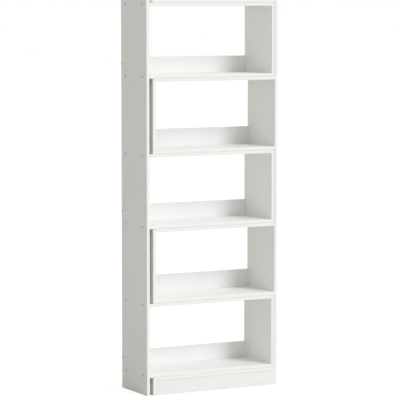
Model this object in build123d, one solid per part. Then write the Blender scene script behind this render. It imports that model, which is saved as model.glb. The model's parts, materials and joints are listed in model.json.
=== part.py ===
from build123d import *
import os

# Extendable open-back bookcase of white melamine-faced chipboard.
# Two halves slide into each other. The left half is a tall side panel that carries
# the boxes of rows 1, 3 and 5 (counted from the top). The right half is a tall side
# panel that carries the boxes of rows 2 and 4, the top cover and the plinth.
# Origin: on the floor under the centre of the closed bookcase.
# +X to the right, +Y to the back, +Z up. Modelled closed, in millimetres.

# ---- driving dimensions ----
case_width = 700
case_depth = 265
case_height = 1850
board = 15                # thickness of every board
row_count = 5
row_pitch = 350           # one box plus one sliding gap
slide_gap = 0.6           # air between stacked boxes, filled by the slide pads
left_slot = 18            # right-half boxes stop this far from the left panel
right_slot = 2            # left-half boxes stop this far from the right panel
left_rail_height = 78     # back rails of rows 1, 3 and 5
right_rail_height = 84    # back rails of rows 2 and 4
glide_height = 2
kick_gap = 0.5            # shadow line between the plinth's top and its kick board
edge_radius = 0.8         # rounding of the banded front and back edges

# ---- fasteners ----
screw_inset = 45          # from the front and back edges to the screw centres
rail_screw_drop = 27      # from the top of a rail down to its screw
screw_length = 50
head_radius = 5
head_rim = 1              # straight part of the head
head_depth = 4            # rim and cone together
shank_radius = 3.5
thread_radius = 2.75
tip_radius = 1.2
tip_length = 2.5
socket_flats = 4          # hexagon key size
socket_depth = 3
dowel_radius = 4
dowel_length = 30
dowel_in_panel = 10
dowel_end_space = 0.5     # air left at each end of a dowel
dowel_chamfer = 0.8
kick_dowel_rise = 16      # kick board dowels above and below its middle
pad_radius = 10
pad_inset_x = 25          # from the free end of a box to its pad centres
pad_inset_y = 45
glide_radius = 6.5
glide_chamfer = 0.6
glide_inset = 32
nail_radius = 1
nail_length = 12

# ---- places worked out from the driving dimensions ----
box_height = row_pitch - slide_gap
left_face = -case_width / 2
right_face = case_width / 2
front_face = -case_depth / 2
back_face = case_depth / 2
left_panel_inner = left_face + board
right_panel_inner = right_face - board
left_box_end = right_panel_inner - right_slot     # free end of rows 1, 3 and 5
right_box_end = left_panel_inner + left_slot      # free end of rows 2 and 4
cover_bottom = case_height - board
plinth_top = cover_bottom - row_count * row_pitch - slide_gap
plinth_under = plinth_top - board
kick_top = plinth_under - kick_gap
screw_rows_y = [front_face + screw_inset, back_face - screw_inset]
pad_rows_y = [front_face + pad_inset_y, back_face - pad_inset_y]
glide_rows_y = [front_face + glide_inset, back_face - glide_inset]
rail_centre_y = back_face - board / 2
kick_centre_y = front_face + board / 2
left_rows = [1, 3, 5]
right_rows = [2, 4]


def row_bottom(row):
    """Underside of a box; row 1 is the highest."""
    return cover_bottom - row * row_pitch


def block(x_span, y_span, z_span):
    """Plain rectangular solid between the given limits."""
    size = [span[1] - span[0] for span in (x_span, y_span, z_span)]
    middle = [(span[0] + span[1]) / 2 for span in (x_span, y_span, z_span)]
    return Pos(*middle) * Box(*size)


def banded(solid, run_axis):
    """Round the long front and back edges, which run along run_axis."""
    limits = solid.bounding_box()
    edges = solid.edges().filter_by(run_axis)
    outer = edges.filter_by_position(Axis.Y, limits.min.Y, limits.min.Y)
    outer += edges.filter_by_position(Axis.Y, limits.max.Y, limits.max.Y)
    return fillet(outer, edge_radius)


def flat_board(x_span, z_low):
    """Horizontal board of the full depth."""
    solid = block(x_span, (front_face, back_face), (z_low, z_low + board))
    return banded(solid, Axis.X)


def upright_panel(x_low, z_span):
    """Vertical panel of the full depth."""
    solid = block((x_low, x_low + board), (front_face, back_face), z_span)
    return banded(solid, Axis.Z)


def edge_board(x_span, y_low, z_span):
    """Board on edge along the front or the back: a rail, kick or rear board."""
    return banded(block(x_span, (y_low, y_low + board), z_span), Axis.X)


def pointing(side):
    """Turn that sends local +Z into the case from its left (+1) or right (-1) side."""
    return Rot(0, 90 * side, 0)


def screw_body():
    """Furniture screw envelope along +Z, with its head face at the origin."""
    outline = Polyline(
        (0, 0),
        (head_radius, 0),
        (head_radius, head_rim),
        (shank_radius, head_depth),
        (shank_radius, board),
        (thread_radius, board),
        (thread_radius, screw_length - tip_length),
        (tip_radius, screw_length),
        (0, screw_length),
        close=True,
    )
    return revolve(Plane.XZ * make_face(outline), Axis.Z)


def screw_with_socket():
    """The screw with its hexagon socket cut in."""
    socket_radius = socket_flats / 3 ** 0.5
    socket = extrude(RegularPolygon(socket_radius, 6), amount=socket_depth)
    return screw_body() - socket


def dowel_body(length, end_chamfer=0):
    """Round dowel along +Z from the joint face; it starts inside the panel."""
    back = (length - dowel_length) / 2
    start = -dowel_in_panel - back
    solid = Pos(0, 0, start + length / 2) * Cylinder(dowel_radius, length)
    if end_chamfer:
        solid = chamfer(solid.edges().filter_by(GeomType.CIRCLE), end_chamfer)
    return solid


def slide_pad():
    """Felt disc, standing on the board below it."""
    return Pos(0, 0, slide_gap / 2) * Cylinder(pad_radius, slide_gap)


def floor_glide():
    """Nail-on glide: a chamfered disc on the floor and its nail above it."""
    disc = Pos(0, 0, glide_height / 2) * Cylinder(glide_radius, glide_height)
    rim = disc.edges().filter_by(GeomType.CIRCLE).sort_by(Axis.Z)[0]
    return chamfer(rim, glide_chamfer) + glide_nail()


def glide_nail():
    """Nail of a glide, from the top of its disc up into the board."""
    return Pos(0, 0, glide_height + nail_length / 2) * Cylinder(nail_radius, nail_length)


# Every board by node name, and every place where something fastens it.
boards = {}
screw_places = {}
dowel_places = {}


def fasten(group, panel, target, face_x, side, y_places, z):
    """Screws from a panel's outer face into a board's end, at one height."""
    for y in y_places:
        place = Pos(face_x, y, z) * pointing(side)
        screw_places.setdefault(group, []).append((panel, target, place))


def peg(group, panel, target, joint_x, side, z, y=0):
    """One dowel across the joint face between a panel and a board's end."""
    place = Pos(joint_x, y, z) * pointing(side)
    dowel_places.setdefault(group, []).append((panel, target, place))


def build_side_panels():
    """The two tall outer panels, standing on their glides."""
    span = (glide_height, case_height)
    boards["left_side_panel"] = upright_panel(left_face, span)
    boards["right_side_panel"] = upright_panel(right_panel_inner, span)


def build_box(row):
    """One row: top and bottom board, end panel and back rail, held by a side panel."""
    on_left = row in left_rows
    low = row_bottom(row)
    high = low + box_height
    if on_left:
        half, panel, panel_face, side = "left", "left_side_panel", left_face, 1
        end_face, end_low, joint = left_box_end, left_box_end - board, left_panel_inner
        x_span = (left_panel_inner, left_box_end - board)
        free_joint, rail_height = x_span[1], left_rail_height
    else:
        half, panel, panel_face, side = "right", "right_side_panel", right_face, -1
        end_face, end_low, joint = right_box_end, right_box_end, right_panel_inner
        x_span = (right_box_end + board, right_panel_inner)
        free_joint, rail_height = x_span[0], right_rail_height
    name = f"row{row}_"
    end_panel = name + "end_panel"
    rail_low = low + board
    rail_span = (rail_low, rail_low + rail_height)
    boards[name + "bottom_board"] = flat_board(x_span, low)
    boards[name + "top_board"] = flat_board(x_span, high - board)
    boards[end_panel] = upright_panel(end_low, (low, high))
    boards[name + "back_rail"] = edge_board(x_span, back_face - board, rail_span)
    outer_group = half + "_panel_screws"
    inner_group = half + "_box_end_screws"
    dowel_group = half + "_half_dowels"
    for target, z in ((name + "bottom_board", low + board / 2), (name + "top_board", high - board / 2)):
        fasten(outer_group, panel, target, panel_face, side, screw_rows_y, z)
        fasten(inner_group, end_panel, target, end_face, -side, screw_rows_y, z)
        peg(dowel_group, panel, target, joint, side, z)
        peg(dowel_group, end_panel, target, free_joint, -side, z)
    rail_screw_z = rail_span[1] - rail_screw_drop
    fasten(outer_group, panel, name + "back_rail", panel_face, side, [rail_centre_y], rail_screw_z)
    fasten(inner_group, end_panel, name + "back_rail", end_face, -side, [rail_centre_y], rail_screw_z)


def build_cover():
    """Top board of the right half; its free left end lies on the row 1 box."""
    boards["top_cover_board"] = flat_board((right_box_end, right_panel_inner), cover_bottom)
    z = cover_bottom + board / 2
    fasten("right_panel_screws", "right_side_panel", "top_cover_board", right_face, -1, screw_rows_y, z)
    peg("right_half_dowels", "right_side_panel", "top_cover_board", right_panel_inner, -1, z)


def build_plinth():
    """Plinth of the right half: top, kick, rear board and an end panel on the left.

    The kick board is doweled to the end panel, so no screw head shows in the slot.
    """
    x_span = (right_box_end + board, right_panel_inner)
    low_span = (glide_height, kick_top)
    boards["plinth_top_board"] = flat_board(x_span, plinth_under)
    boards["plinth_kick_board"] = edge_board(x_span, front_face, low_span)
    boards["plinth_rear_board"] = edge_board(x_span, back_face - board, low_span)
    boards["plinth_end_panel"] = upright_panel(right_box_end, (glide_height, plinth_top))
    top_z = plinth_under + board / 2
    low_z = (glide_height + kick_top) / 2
    held = [
        ("plinth_top_board", screw_rows_y, top_z),
        ("plinth_rear_board", [rail_centre_y], low_z),
    ]
    for target, y_places, z in held:
        fasten("right_panel_screws", "right_side_panel", target, right_face, -1, y_places, z)
        fasten("right_box_end_screws", "plinth_end_panel", target, right_box_end, 1, y_places, z)
    kick = "plinth_kick_board"
    fasten("right_panel_screws", "right_side_panel", kick, right_face, -1, [kick_centre_y], low_z)
    for z in (low_z - kick_dowel_rise, low_z + kick_dowel_rise):
        peg("right_half_dowels", "plinth_end_panel", kick, x_span[0], 1, z, kick_centre_y)
    peg("right_half_dowels", "right_side_panel", "plinth_top_board", right_panel_inner, -1, top_z)
    peg("right_half_dowels", "plinth_end_panel", "plinth_top_board", x_span[0], 1, top_z)


def drill(cuts, places, cutter):
    """Collect the holes that one kind of fastener needs in the boards it joins."""
    for group in places.values():
        for panel, target, place in group:
            hole = place * cutter
            cuts.setdefault(panel, []).append(hole)
            cuts.setdefault(target, []).append(hole)


def glide_places():
    """Glide centres on the floor, by node name."""
    panel_x = {
        "left_floor_glides": [("left_side_panel", left_face + board / 2)],
        "right_floor_glides": [
            ("right_side_panel", right_face - board / 2),
            ("plinth_end_panel", right_box_end + board / 2),
        ],
    }
    return {
        node: [(panel, Pos(x, y, 0)) for panel, x in panels for y in glide_rows_y]
        for node, panels in panel_x.items()
    }


def pad_groups():
    """Slide pads under the free end of every box and of the cover, by node name."""
    left_x = left_box_end - pad_inset_x
    right_x = right_box_end + pad_inset_x
    left_z = [row_bottom(row) - slide_gap for row in left_rows]
    right_z = [row_bottom(row) - slide_gap for row in right_rows + [0]]
    pad = slide_pad()
    return {
        "left_half_slide_pads": [Pos(left_x, y, z) * pad for z in left_z for y in pad_rows_y],
        "right_half_slide_pads": [Pos(right_x, y, z) * pad for z in right_z for y in pad_rows_y],
    }


def build_all():
    """Every node of the bookcase, by name."""
    build_side_panels()
    build_cover()
    for row in sorted(left_rows + right_rows):
        build_box(row)
    build_plinth()

    cuts = {}
    drill(cuts, screw_places, screw_body())
    drill(cuts, dowel_places, dowel_body(dowel_length + 2 * dowel_end_space))
    glides = glide_places()
    for group in glides.values():
        for panel, place in group:
            cuts.setdefault(panel, []).append(place * glide_nail())

    nodes = {name: solid - cuts.get(name, []) for name, solid in boards.items()}
    screw = screw_with_socket()
    for name, group in screw_places.items():
        nodes[name] = Compound(children=[place * screw for _, _, place in group])
    dowel = dowel_body(dowel_length, dowel_chamfer)
    for name, group in dowel_places.items():
        nodes[name] = Compound(children=[place * dowel for _, _, place in group])
    glide = floor_glide()
    for name, group in glides.items():
        nodes[name] = Compound(children=[place * glide for _, place in group])
    for name, pads in pad_groups().items():
        nodes[name] = Compound(children=pads)
    return nodes


os.makedirs("parts", exist_ok=True)
for node_name, shape in build_all().items():
    export_step(shape, f"parts/{node_name}.step")
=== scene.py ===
import json
import math
import bpy
import numpy as np
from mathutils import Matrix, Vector

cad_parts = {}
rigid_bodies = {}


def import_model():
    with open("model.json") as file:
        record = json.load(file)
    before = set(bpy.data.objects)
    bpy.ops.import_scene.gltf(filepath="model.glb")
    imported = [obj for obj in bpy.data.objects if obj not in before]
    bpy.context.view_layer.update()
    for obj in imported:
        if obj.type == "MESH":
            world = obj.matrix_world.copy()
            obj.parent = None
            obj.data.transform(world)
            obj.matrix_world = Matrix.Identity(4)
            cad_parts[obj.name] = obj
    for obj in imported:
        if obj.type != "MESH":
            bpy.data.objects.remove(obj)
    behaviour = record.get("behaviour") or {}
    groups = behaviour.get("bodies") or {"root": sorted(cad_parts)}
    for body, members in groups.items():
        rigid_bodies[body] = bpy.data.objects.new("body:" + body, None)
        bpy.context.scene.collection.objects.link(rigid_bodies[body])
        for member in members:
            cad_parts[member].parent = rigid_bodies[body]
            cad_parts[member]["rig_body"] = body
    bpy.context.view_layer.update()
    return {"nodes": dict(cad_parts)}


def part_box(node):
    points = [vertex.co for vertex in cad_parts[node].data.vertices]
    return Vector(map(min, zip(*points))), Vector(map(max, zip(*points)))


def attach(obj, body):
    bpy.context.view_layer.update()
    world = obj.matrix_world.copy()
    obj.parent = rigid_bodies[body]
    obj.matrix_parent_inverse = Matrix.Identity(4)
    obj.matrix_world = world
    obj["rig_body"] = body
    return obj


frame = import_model()
cadNodes = frame["nodes"]
scene = bpy.context.scene
mm = 0.001


def startMaterial(name):
    # a fresh material, with its node tree and its Principled shader
    material = bpy.data.materials.new(name)
    material.use_nodes = True
    tree = material.node_tree
    return material, tree, tree.nodes["Principled BSDF"]


def addNode(tree, kind, links=(), **settings):
    # one node; settings are its own properties, links are (socket, source or number) pairs
    node = tree.nodes.new("ShaderNode" + kind)
    for key, value in settings.items():
        setattr(node, key, value)
    for socket, source in links:
        if hasattr(source, "is_output"):
            tree.links.new(source, node.inputs[socket])
        else:
            node.inputs[socket].default_value = source
    return node


def calc(tree, operation, *values):
    # one Math node on numbers or sockets
    return addNode(tree, "Math", list(enumerate(values)), operation=operation).outputs[0]


def rampBetween(tree, value, low, high, atLow=0.0, atHigh=1.0):
    # smooth step from atLow to atHigh as value goes from low to high
    limits = [("From Min", low), ("From Max", high), ("To Min", atLow), ("To Max", atHigh)]
    links = [("Value", value)] + limits
    return addNode(tree, "MapRange", links, interpolation_type="SMOOTHSTEP").outputs["Result"]


def noise(tree, where, scale, detail, rough):
    # the settings give every noise as (scale, detail, roughness), and every fade as (from, to)
    links = [("Vector", where), ("Scale", scale), ("Detail", detail), ("Roughness", rough)]
    return addNode(tree, "TexNoise", links).outputs["Fac"]


def tint(tree, amount, colourA, colourB, blend="MIX"):
    # colourA at amount 0, colourB at amount 1; either may be a colour or a socket
    # a Mix node takes its two colours in sockets 6 and 7, and its two numbers in 2 and 3
    links = [(0, amount)]
    for socket, colour in ((6, colourA), (7, colourB)):
        plain = not hasattr(colour, "is_output")
        links.append((socket, (*colour, 1) if plain else colour))
    return addNode(tree, "Mix", links, data_type="RGBA", blend_type=blend).outputs[2]


def mixNumbers(tree, amount, numberA, numberB):
    # numberA at amount 0, numberB at amount 1
    return addNode(tree, "Mix", [(0, amount), (2, numberA), (3, numberB)]).outputs[0]


def stretched(tree, where, scale):
    # the same places, drawn out along the axes with the smaller scales
    return addNode(tree, "Mapping", [("Vector", where), ("Scale", scale)]).outputs[0]


def bumpOf(tree, shader, height, strength, distance):
    links = [("Height", height), ("Strength", strength), ("Distance", distance)]
    tree.links.new(addNode(tree, "Bump", links).outputs["Normal"], shader.inputs["Normal"])


def directionFrom(turn, rise):
    # unit vector out from the front, turned towards +X by one angle and lifted by the other
    level = math.cos(rise)
    return Vector((math.sin(turn) * level, -math.cos(turn) * level, math.sin(rise)))


# the camera stands well back and to the left, about as high as the top of the bookcase
cameraPlan = {
    "aim": (0.001, 0.0, 0.897),    # the point it looks at, on the bookcase's middle plane
    "distance": 10.5,
    "fromLeft": math.radians(28.15),
    "above": math.radians(5.35),
    "lens": 198.2,
    "sensor": 36.0,
    "farEnd": 200.0,
}


def placeCamera(plan):
    outward = directionFrom(-plan["fromLeft"], plan["above"])
    data = bpy.data.cameras.new("camera")
    data.lens = plan["lens"]
    data.sensor_width = plan["sensor"]
    data.clip_end = plan["farEnd"]
    camera = bpy.data.objects.new("camera", data)
    camera.location = Vector(plan["aim"]) + outward * plan["distance"]
    camera.rotation_mode = "QUATERNION"
    camera.rotation_quaternion = (-outward).to_track_quat("-Z", "Y")
    scene.collection.objects.link(camera)
    scene.camera = camera


placeCamera(cameraPlan)
print("camera placed")

lampPlan = {
    "fromRight": math.radians(26.0),    # seen from the front
    "above": math.radians(39.0),
    "spread": math.radians(19.5),       # a wide softbox, so shadows have soft edges
    "power": 1.50,
    "colour": (1.0, 1.0, 1.065),
    "away": 6.0,
}
roomPlan = {
    "fill": (0.752, 0.750, 0.716),      # slightly warm light from all round
    "fillLeft": (0.030, 0.030, 0.026),  # next to none straight from the left
    "fadeFrom": -1.0,                   # where the dim side starts and ends, as the X of a direction
    "fadeTo": -0.55,
    "backdrop": (1.0, 1.0, 1.0),
}
floorPlan = {
    "reach": 40.0,
    "glow": 0.85,                       # seen directly, the sheet is overexposed
    "faint": (0.21, 0.21, 0.21),        # and its shadows stay faint
    "bounce": (0.680, 0.675, 0.645),    # what it sends back onto the bookcase
    "mottle": (1.7, 3.0, 0.5),
    "mottleAmount": 0.01,
    "roughness": 0.9,
    "gloss": 0.1,
}


def placeLamp(plan):
    towards = directionFrom(plan["fromRight"], plan["above"])
    data = bpy.data.lights.new("keyLamp", "SUN")
    data.energy = plan["power"]
    data.color = plan["colour"]
    data.angle = plan["spread"]
    lamp = bpy.data.objects.new("keyLamp", data)
    lamp.location = towards * plan["away"]
    lamp.rotation_mode = "QUATERNION"
    lamp.rotation_quaternion = towards.to_track_quat("Z", "Y")
    scene.collection.objects.link(lamp)


def lightRoom(plan):
    # light from all round, and plain white where the camera looks past the bookcase
    world = bpy.data.worlds.new("studio")
    world.use_nodes = True
    scene.world = world
    tree = world.node_tree
    tree.nodes.clear()
    direction = addNode(tree, "TexCoord").outputs["Generated"]
    towardsRight = addNode(tree, "SeparateXYZ", [(0, direction)]).outputs[0]
    side = rampBetween(tree, towardsRight, plan["fadeFrom"], plan["fadeTo"])
    fill = addNode(tree, "Background", [("Color", tint(tree, side, plan["fillLeft"], plan["fill"]))])
    backdrop = addNode(tree, "Background", [("Color", (*plan["backdrop"], 1))])
    seen = addNode(tree, "LightPath").outputs["Is Camera Ray"]
    links = [("Fac", seen), (1, fill.outputs[0]), (2, backdrop.outputs[0])]
    shown = addNode(tree, "MixShader", links)
    addNode(tree, "OutputWorld", [("Surface", shown.outputs[0])])


def makeFloor(plan):
    # a square sheet: x and y run from -reach to reach, and z is 0 everywhere
    side = np.array([-1.0, 1.0]) * plan["reach"]
    gridX, gridY = np.meshgrid(side, side)
    points = np.stack([gridX, gridY, np.zeros_like(gridX)], axis=-1).reshape(-1, 3)
    mesh = bpy.data.meshes.new("floor")
    mesh.from_pydata(points.tolist(), [], [(0, 1, 3, 2)])
    floor = bpy.data.objects.new("floor", mesh)
    scene.collection.objects.link(floor)
    material, tree, shader = startMaterial("paleFloor")
    where = addNode(tree, "TexCoord").outputs["Object"]
    seen = addNode(tree, "LightPath").outputs["Is Camera Ray"]
    patches = noise(tree, where, *plan["mottle"])
    colour = tint(tree, seen, plan["bounce"], plan["faint"])
    uneven = rampBetween(tree, patches, 0.0, 1.0, 1 - plan["mottleAmount"], 1 + plan["mottleAmount"])
    tree.links.new(tint(tree, 1.0, colour, uneven, "MULTIPLY"), shader.inputs["Base Color"])
    shader.inputs["Roughness"].default_value = plan["roughness"]
    shader.inputs["Specular IOR Level"].default_value = plan["gloss"]
    shader.inputs["Emission Color"].default_value = (1, 1, 1, 1)
    tree.links.new(calc(tree, "MULTIPLY", seen, plan["glow"]), shader.inputs["Emission Strength"])
    mesh.materials.append(material)


scene.view_settings.view_transform = "Standard"
placeLamp(lampPlan)
lightRoom(roomPlan)
makeFloor(floorPlan)
print("lamp, room and floor made")

# white melamine: a pressed paper skin on both faces of the board
melamineLook = {
    "white": (0.880, 0.880, 0.872),
    "shaded": (0.865, 0.865, 0.855),    # the slightly duller patches
    "handled": (0.780, 0.774, 0.755),   # greyed corners and edges
    "cloud": (2.6, 3.0, 0.5),           # patches about 0.4 m across
    "cloudFade": (0.35, 0.65),
    "pearl": (950.0, 2.0, 0.45),        # pressed texture, about 1 mm
    "pearlHeight": 0.02 * mm,
    "smear": (21.0, 4.0, 0.6),          # where hands and dusters have been
    "smearFade": (0.52, 0.75),
    "wearReach": 7 * mm,
    "wear": 0.45,
    "rubbing": (34.0, 3.0, 0.5),
    "rubbingFade": (0.3, 0.7),
    "roughness": (0.37, 0.45),          # rubbed and unrubbed
    "gloss": 0.45,
}
# the chipboard inside, seen on the sawn faces that have no band
coreLook = {
    "chip": (0.560, 0.410, 0.250),
    "darkChip": (0.270, 0.165, 0.085),
    "paleChip": (0.760, 0.620, 0.430),
    "chipScale": 520.0,                 # coarse chips, about 2 mm
    "dust": (2100.0, 2.0, 0.5),         # fine outer layers
    "dustDepth": (1.92 * mm, 4.48 * mm),    # where dust gives way to chips
    "darkFade": (0.05, 0.5),
    "paleFade": (0.5, 0.95),
    "gapHeight": 0.25 * mm,
    "skin": 0.06 * mm,                  # how near a cut face counts as core
    "roughness": 0.85,
}
# how much lighter or darker each board is than the plain skin, as painted light and shade: lighter where
# inner faces and shelves should catch more light, darker for the shade in the slots, on the rails' ends
# and on the kick board; the first ending that fits counts
paintedLightTone = {
    "row2_back_rail": 0.965,
    "row4_back_rail": 0.965,
    "back_rail": 0.988,
    "row2_end_panel": 0.950,
    "row4_end_panel": 0.950,
    "plinth_end_panel": 0.950,
    "row5_end_panel": 1.080,
    "end_panel": 1.067,
    "right_side_panel": 1.053,
    "row2_bottom_board": 1.000,
    "row4_bottom_board": 1.045,
    "bottom_board": 1.018,
    "kick_board": 0.952,
    "rear_board": 0.952,
}
# the faces of each board that are sawn and not banded, as (axis, sign) pairs
sawnFaces = {
    "side_panel": [(2, -1)],
    "end_panel": [(2, -1), (2, 1)],
    "top_board": [(0, -1), (0, 1)],
    "bottom_board": [(0, -1), (0, 1)],
    "back_rail": [(0, -1), (0, 1), (2, -1)],
    "cover_board": [(0, 1)],
    "kick_board": [(0, -1), (0, 1), (2, -1), (2, 1)],
    "rear_board": [(0, -1), (0, 1), (2, -1), (2, 1)],
}


def boardPlaces(tree, low, high):
    # ways in from the faces along X, Y and Z, places from the middle, and the way to the nearest edge
    middle = [(a + b) / 2 for a, b in zip(low, high)]
    half = [(b - a) / 2 for a, b in zip(low, high)]
    where = addNode(tree, "TexCoord").outputs["Object"]
    moved = addNode(tree, "VectorMath", [(0, where), (1, middle)], operation="SUBTRACT").outputs[0]
    flat = addNode(tree, "VectorMath", [(0, moved)], operation="ABSOLUTE").outputs[0]
    inset = addNode(tree, "VectorMath", [(0, half), (1, flat)], operation="SUBTRACT").outputs[0]
    waysIn = addNode(tree, "SeparateXYZ", [(0, inset)]).outputs
    fromMiddle = addNode(tree, "SeparateXYZ", [(0, moved)]).outputs
    # on a face one way in is zero, so the middle one of the three leads to the nearest edge
    smaller = calc(tree, "MINIMUM", waysIn[0], waysIn[1])
    larger = calc(tree, "MAXIMUM", waysIn[0], waysIn[1])
    toEdge = calc(tree, "MAXIMUM", smaller, calc(tree, "MINIMUM", larger, waysIn[2]))
    return where, waysIn, fromMiddle, toEdge, half


def chipboard(tree, where, depth, look):
    # coarse chips in the core, fine dust towards both faces
    cells = addNode(tree, "TexVoronoi", [("Vector", where), ("Scale", look["chipScale"])])
    chips = addNode(tree, "SeparateColor", [(0, cells.outputs["Color"])]).outputs[0]
    dust = noise(tree, where, *look["dust"])
    coarse = rampBetween(tree, depth, *look["dustDepth"])
    pick = mixNumbers(tree, coarse, dust, chips)
    brown = tint(tree, rampBetween(tree, pick, *look["darkFade"]), look["darkChip"], look["chip"])
    wood = tint(tree, rampBetween(tree, pick, *look["paleFade"]), brown, look["paleChip"])
    gaps = calc(tree, "MULTIPLY", cells.outputs["Distance"], coarse)
    return wood, gaps


def sawnMask(tree, fromMiddle, half, cutFaces, skin):
    # 1 on the sawn faces and 0 elsewhere
    mask = None
    for axis, sign in cutFaces:
        reach = calc(tree, "MULTIPLY", fromMiddle[axis], sign)
        onFace = calc(tree, "GREATER_THAN", reach, half[axis] - skin)
        mask = onFace if mask is None else calc(tree, "MAXIMUM", mask, onFace)
    return mask


def melamineBoard(node, cutFaces, paintedTone):
    # the skin all over, its colours scaled by a tone that paints light and shade onto the board, and the
    # core on the sawn faces
    look, core = melamineLook, coreLook
    white, shaded, handled = ([c * paintedTone for c in look[name]] for name in ("white", "shaded", "handled"))
    material, tree, shader = startMaterial("melamine_" + node)
    where, waysIn, fromMiddle, toEdge, half = boardPlaces(tree, *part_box(node))
    clouds = rampBetween(tree, noise(tree, where, *look["cloud"]), *look["cloudFade"])
    clean = tint(tree, clouds, shaded, white)
    # hands and dusters grey the edges in patches
    smears = rampBetween(tree, noise(tree, where, *look["smear"]), *look["smearFade"])
    nearEdge = rampBetween(tree, toEdge, 0.0, look["wearReach"], look["wear"], 0.0)
    skin = tint(tree, calc(tree, "MULTIPLY", smears, nearEdge), clean, handled)
    pearl = noise(tree, where, *look["pearl"])
    skinHeight = calc(tree, "MULTIPLY", pearl, look["pearlHeight"])
    rubbing = noise(tree, where, *look["rubbing"])
    skinRough = rampBetween(tree, rubbing, *look["rubbingFade"], *look["roughness"])
    cut = sawnMask(tree, fromMiddle, half, cutFaces, core["skin"])
    thin = half.index(min(half))
    wood, gaps = chipboard(tree, where, waysIn[thin], core)
    coreHeight = calc(tree, "MULTIPLY", gaps, core["gapHeight"])
    roughness = mixNumbers(tree, cut, skinRough, core["roughness"])
    height = mixNumbers(tree, cut, skinHeight, coreHeight)    # in metres
    tree.links.new(tint(tree, cut, skin, wood), shader.inputs["Base Color"])
    tree.links.new(roughness, shader.inputs["Roughness"])
    shader.inputs["Specular IOR Level"].default_value = look["gloss"]
    bumpOf(tree, shader, height, 1.0, 1.0)
    return material


def lookUp(table, node, default=None):
    # the entry whose key ends the node's name
    return next((value for ending, value in table.items() if node.endswith(ending)), default)


boardNodes = sorted(node for node in cadNodes if lookUp(sawnFaces, node))
for node in boardNodes:
    cadNodes[node].data.materials.clear()
    # the tone from the table paints light and shade onto this board
    board = melamineBoard(node, lookUp(sawnFaces, node), lookUp(paintedLightTone, node, 1.0))
    cadNodes[node].data.materials.append(board)
print("melamine on", len(boardNodes), "boards")

zincLook = {
    "bright": (0.420, 0.422, 0.430),
    "dull": (0.270, 0.270, 0.272),
    "cloud": (420.0, 4.0, 0.6),
    "cloudFade": (0.3, 0.8),
    "roughness": (0.26, 0.46),
    "marks": (3780.0, 1.0, 0.5),        # fine turning marks
    "marksStrength": 0.25,
    "marksHeight": 0.02 * mm,
}
beechLook = {
    "pale": (0.720, 0.530, 0.340),
    "dark": (0.520, 0.340, 0.190),
    "drawn": (60.0, 900.0, 900.0),      # grain runs long along X, as every dowel lies
    "grain": (1.0, 4.0, 0.55),
    "grainFade": (0.35, 0.7),
    "grainStrength": 0.5,
    "grainHeight": 0.08 * mm,
    "roughness": 0.7,
}
feltLook = {
    "light": (0.640, 0.625, 0.590),
    "dark": (0.430, 0.415, 0.385),
    "fibres": (1400.0, 3.0, 0.5),
    "fibresFade": (0.45, 0.75),
    "fibresStrength": 0.8,
    "fibresHeight": 0.15 * mm,
    "drawn": 0.25,                      # fibres are four times longer than wide
    "roughness": 0.95,
    "sheen": 0.3,
    "sheenRoughness": 0.5,
}
glideLook = {
    "white": (0.760, 0.760, 0.740),
    "scuffed": (0.560, 0.550, 0.520),
    "scuffs": (300.0, 5.0, 0.65),
    "scuffsFade": (0.5, 0.75),
    "scuffsStrength": 0.3,
    "scuffsHeight": 0.05 * mm,
    "roughness": 0.38,
    "scuffsRoughness": 0.25,            # added where it is scuffed
}


def zincSteel(look):
    # zinc plate: a little cloudy, with fine turning marks
    material, tree, shader = startMaterial("zincSteel")
    where = addNode(tree, "TexCoord").outputs["Object"]
    cloud = noise(tree, where, *look["cloud"])
    rough = rampBetween(tree, cloud, *look["cloudFade"], *look["roughness"])
    tree.links.new(tint(tree, cloud, look["bright"], look["dull"]), shader.inputs["Base Color"])
    tree.links.new(rough, shader.inputs["Roughness"])
    shader.inputs["Metallic"].default_value = 1.0
    bumpOf(tree, shader, noise(tree, where, *look["marks"]), look["marksStrength"], look["marksHeight"])
    return material


def beechWood(look):
    # straight grain along the dowel
    material, tree, shader = startMaterial("beechWood")
    where = addNode(tree, "TexCoord").outputs["Object"]
    grain = noise(tree, stretched(tree, where, look["drawn"]), *look["grain"])
    wood = tint(tree, rampBetween(tree, grain, *look["grainFade"]), look["pale"], look["dark"])
    tree.links.new(wood, shader.inputs["Base Color"])
    shader.inputs["Roughness"].default_value = look["roughness"]
    bumpOf(tree, shader, grain, look["grainStrength"], look["grainHeight"])
    return material


def pressedFelt(look):
    # matted fibres: fine noise drawn out two ways, the higher of the two on top
    material, tree, shader = startMaterial("pressedFelt")
    where = addNode(tree, "TexCoord").outputs["Object"]
    across = noise(tree, stretched(tree, where, (1.0, look["drawn"], 1.0)), *look["fibres"])
    along = noise(tree, stretched(tree, where, (look["drawn"], 1.0, 1.0)), *look["fibres"])
    fibres = calc(tree, "MAXIMUM", across, along)
    felt = tint(tree, rampBetween(tree, fibres, *look["fibresFade"]), look["dark"], look["light"])
    tree.links.new(felt, shader.inputs["Base Color"])
    shader.inputs["Roughness"].default_value = look["roughness"]
    shader.inputs["Sheen Weight"].default_value = look["sheen"]
    shader.inputs["Sheen Roughness"].default_value = look["sheenRoughness"]
    bumpOf(tree, shader, fibres, look["fibresStrength"], look["fibresHeight"])
    return material


def glidePlastic(look):
    # moulded white plastic, scuffed in spots
    material, tree, shader = startMaterial("glidePlastic")
    where = addNode(tree, "TexCoord").outputs["Object"]
    scuffs = rampBetween(tree, noise(tree, where, *look["scuffs"]), *look["scuffsFade"])
    rough = calc(tree, "MULTIPLY_ADD", scuffs, look["scuffsRoughness"], look["roughness"])
    tree.links.new(tint(tree, scuffs, look["white"], look["scuffed"]), shader.inputs["Base Color"])
    tree.links.new(rough, shader.inputs["Roughness"])
    bumpOf(tree, shader, scuffs, look["scuffsStrength"], look["scuffsHeight"])
    return material


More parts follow.
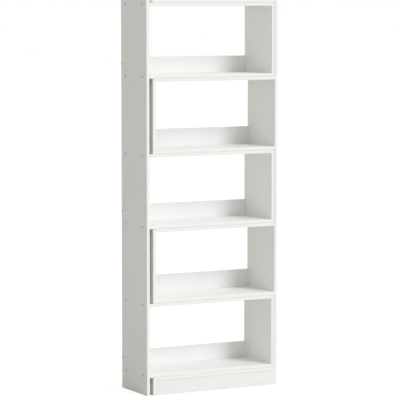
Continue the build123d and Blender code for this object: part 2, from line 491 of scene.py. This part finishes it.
fittings = {
    "screws": zincSteel(zincLook),
    "dowels": beechWood(beechLook),
    "slide_pads": pressedFelt(feltLook),
    "floor_glides": glidePlastic(glideLook),
}
fittingNodes = sorted(node for node in cadNodes if lookUp(fittings, node))
for node in fittingNodes:
    cadNodes[node].data.materials.clear()
    cadNodes[node].data.materials.append(lookUp(fittings, node))
print("finishes on", len(fittingNodes), "sets of fittings")

bandPlan = {
    "thick": 1.0 * mm,       # how far the band reaches back over the faces
    "proud": 0.06 * mm,      # how far it stands out of the board
    "corner": 0.8 * mm,      # the board's own rounded edge
    "wall": 0.35 * mm,       # from the outer skin to the sunk inner one
    "arcSteps": 5,
    "endGap": 0.12 * mm,
    "creaseAngle": math.radians(35),
    "white": (0.880, 0.882, 0.858),
    "streaked": (0.850, 0.850, 0.825),
    "drawn": (14.0, 1600.0, 1.0),    # streaks run long along the band
    "streaks": (1.0, 3.0, 0.5),
    "streaksFade": (0.3, 0.7),
    "streaksStrength": 0.3,
    "streaksHeight": 0.01 * mm,
    "roughness": (0.30, 0.38),
    "roughnessFade": (0.2, 0.8),
    "gloss": 0.5,
}


def bandProfile(plan, thickness):
    # a C: in along one face, a quarter arc, straight across the edge, a quarter arc, out along
    # the other face; column 0 points into the board, column 1 runs across its thickness
    reach = thickness / 2 - plan["corner"]
    turn = np.linspace(0.0, np.pi / 2, plan["arcSteps"])

    def skin(radius):
        # arc point = (corner - radius sin turn, reach + radius cos turn), mirrored for the far side
        top = np.stack([plan["corner"] - radius * np.sin(turn), reach + radius * np.cos(turn)], axis=-1)
        first = np.array([[plan["thick"], reach + radius]])
        upper = np.concatenate([first, top])
        return np.concatenate([upper, upper[::-1] * [1, -1]])

    outer = skin(plan["corner"] + plan["proud"])
    inner = skin(plan["corner"] + plan["proud"] - plan["wall"])
    return outer, inner


def carryProfile(outer, inner, start, end, inward, across):
    # a closed strip: point = path point + inward * column 0 + across * column 1
    loop = np.concatenate([outer, inner[::-1]])
    path = np.stack([start, end])
    points = path[:, None, :] + loop[None, :, 0:1] * inward + loop[None, :, 1:2] * across
    count = len(loop)
    here = np.arange(count)
    after = (here + 1) % count
    sides = np.stack([here, after, after + count, here + count], axis=-1)
    # each end is closed by quads between the outer skin and the inner one
    pair = np.arange(len(outer) - 1)
    mate = count - 1 - pair
    cap = np.stack([pair, mate, mate - 1, pair + 1], axis=-1)
    quads = np.concatenate([sides, cap, cap[:, ::-1] + count])
    # u runs along the path and v round the profile, both in metres
    steps = np.linalg.norm(np.diff(loop, axis=0, append=loop[:1]), axis=1)
    around = np.concatenate([[0.0], np.cumsum(steps)[:-1]])
    length = np.linalg.norm(end - start)
    uv = np.stack([np.repeat([0.0, length], count), np.tile(around, 2)], axis=-1)
    return points.reshape(-1, 3), quads, uv


def stripMesh(name, strips, plan):
    # strips laid end to end in one mesh: each strip's quads are shifted by the points before it
    starts = np.cumsum([0] + [len(points) for points, _, _ in strips])[:-1]
    points = np.concatenate([strip[0] for strip in strips])
    quads = np.concatenate([strip[1] + first for strip, first in zip(strips, starts)])
    uv = np.concatenate([strip[2] for strip in strips])
    mesh = bpy.data.meshes.new(name)
    mesh.vertices.add(len(points))
    mesh.vertices.foreach_set("co", points.ravel())
    mesh.loops.add(quads.size)
    mesh.loops.foreach_set("vertex_index", quads.ravel())
    mesh.polygons.add(len(quads))
    mesh.polygons.foreach_set("loop_start", np.arange(len(quads)) * 4)
    mesh.polygons.foreach_set("use_smooth", np.ones(len(quads), bool))
    mesh.update(calc_edges=True)
    layer = mesh.uv_layers.new(name="along")
    layer.uv.foreach_set("vector", uv[quads.ravel()].ravel())
    mesh.set_sharp_from_angle(angle=plan["creaseAngle"])
    mesh.validate()
    return mesh


def bandFinish(plan):
    # smooth plastic band: streaks from the trimming cutter run along it
    material, tree, shader = startMaterial("edgeBand")
    where = addNode(tree, "UVMap", uv_map="along").outputs[0]
    streaks = noise(tree, stretched(tree, where, plan["drawn"]), *plan["streaks"])
    plastic = tint(tree, rampBetween(tree, streaks, *plan["streaksFade"]), plan["streaked"], plan["white"])
    rough = rampBetween(tree, streaks, *plan["roughnessFade"], *plan["roughness"])
    tree.links.new(plastic, shader.inputs["Base Color"])
    tree.links.new(rough, shader.inputs["Roughness"])
    shader.inputs["Specular IOR Level"].default_value = plan["gloss"]
    bumpOf(tree, shader, streaks, plan["streaksStrength"], plan["streaksHeight"])
    return material


# how each kind of board is banded: the axis its bands run along, its thin axis and its banded faces
bandedEdges = {
    "panel": (2, 0, [(1, -1), (1, 1)]),
    "rail": (0, 1, [(2, 1)]),
    "top_board": (0, 2, [(1, -1), (1, 1)]),
    "bottom_board": (0, 2, [(1, -1), (1, 1)]),
    "cover_board": (0, 2, [(1, -1), (1, 1)]),
}


def bandStrips(node, plan):
    # one strip for each banded face, carried straight along the middle of that face
    low, high = (np.array(corner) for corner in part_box(node))
    axes = np.eye(3)
    run, thin, faces = lookUp(bandedEdges, node)
    outer, inner = bandProfile(plan, (high - low)[thin])
    strips = []
    for axis, sign in faces:
        start = (low + high) / 2
        start[axis] = high[axis] if sign > 0 else low[axis]
        end = start.copy()
        start[run] = low[run] + plan["endGap"]
        end[run] = high[run] - plan["endGap"]
        inward = -sign * axes[axis]
        across = np.cross(axes[run], inward)    # keeps every strip turned the same way
        strips.append(carryProfile(outer, inner, start, end, inward, across))
    return strips


bandMaterial = bandFinish(bandPlan)
bandedNodes = [node for node in boardNodes if lookUp(bandedEdges, node)]
for node in bandedNodes:
    mesh = stripMesh(node + "_edge_bands", bandStrips(node, bandPlan), bandPlan)
    mesh.materials.append(bandMaterial)
    bands = bpy.data.objects.new(mesh.name, mesh)
    scene.collection.objects.link(bands)
    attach(bands, cadNodes[node]["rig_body"])
print("edge bands on", len(bandedNodes), "boards")
